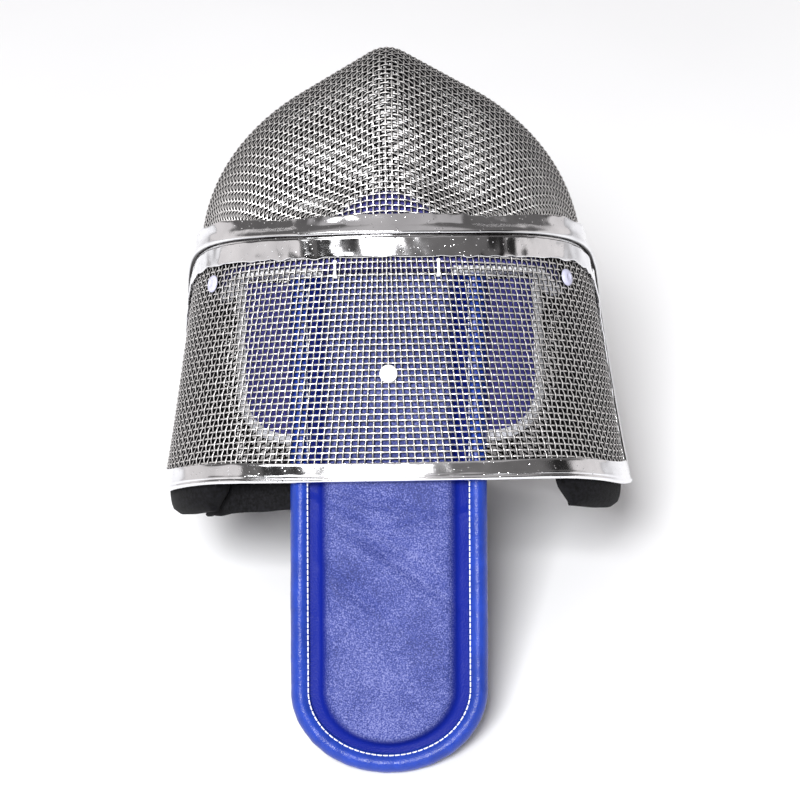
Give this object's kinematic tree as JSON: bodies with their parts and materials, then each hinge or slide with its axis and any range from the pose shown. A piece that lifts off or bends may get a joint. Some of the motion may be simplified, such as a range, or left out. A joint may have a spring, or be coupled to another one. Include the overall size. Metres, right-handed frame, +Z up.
{
  "type": "fencing mask",
  "caption": "Fencing mask with woven wire cage, bright folded edge strips, padded back tongue and inner pads, leaning on its chin rim and tongue tip.",
  "frame": {"origin": "centre of the bounding box, on the surface that the mask rests on", "axes": "+Z up, the face looks along -Y, the tongue hangs towards +Y, +X is the wearer's left"},
  "size_m": [0.2404, 0.2968, 0.2786],
  "materials": {
    "wire": "bright crimped wire",
    "bright_strip": "mirror bright, hand dented",
    "dull_strip": "satin",
    "blue_leather": "fine grain, soft sheen",
    "blue_edge": "smooth, glossy",
    "blue_cloth": "matt woven cloth",
    "pale_binding": "matt tape",
    "black_foam": "matt",
    "black_elastic": "ribbed",
    "white_plastic": "smooth"
  },
  "bodies": {
    "root": {"front_mesh": "wire", "back_mesh": "wire", "join_band": "bright_strip", "rear_band": "bright_strip", "front_rim": "dull_strip", "tongue": "blue_leather", "tongue_piping": "blue_edge", "back_pad": "blue_cloth", "back_pad_binding": "pale_binding", "crown_pad": "blue_cloth", "cheek_pad_left": "black_foam", "cheek_pad_right": "black_foam", "strap_left": "black_elastic", "spring_hook_left": "bright_strip", "spring_hook_right": "bright_strip", "rivet_back": "white_plastic", "rivet_left": "white_plastic", "rivet_right": "white_plastic"}
  },
  "joints": []
}
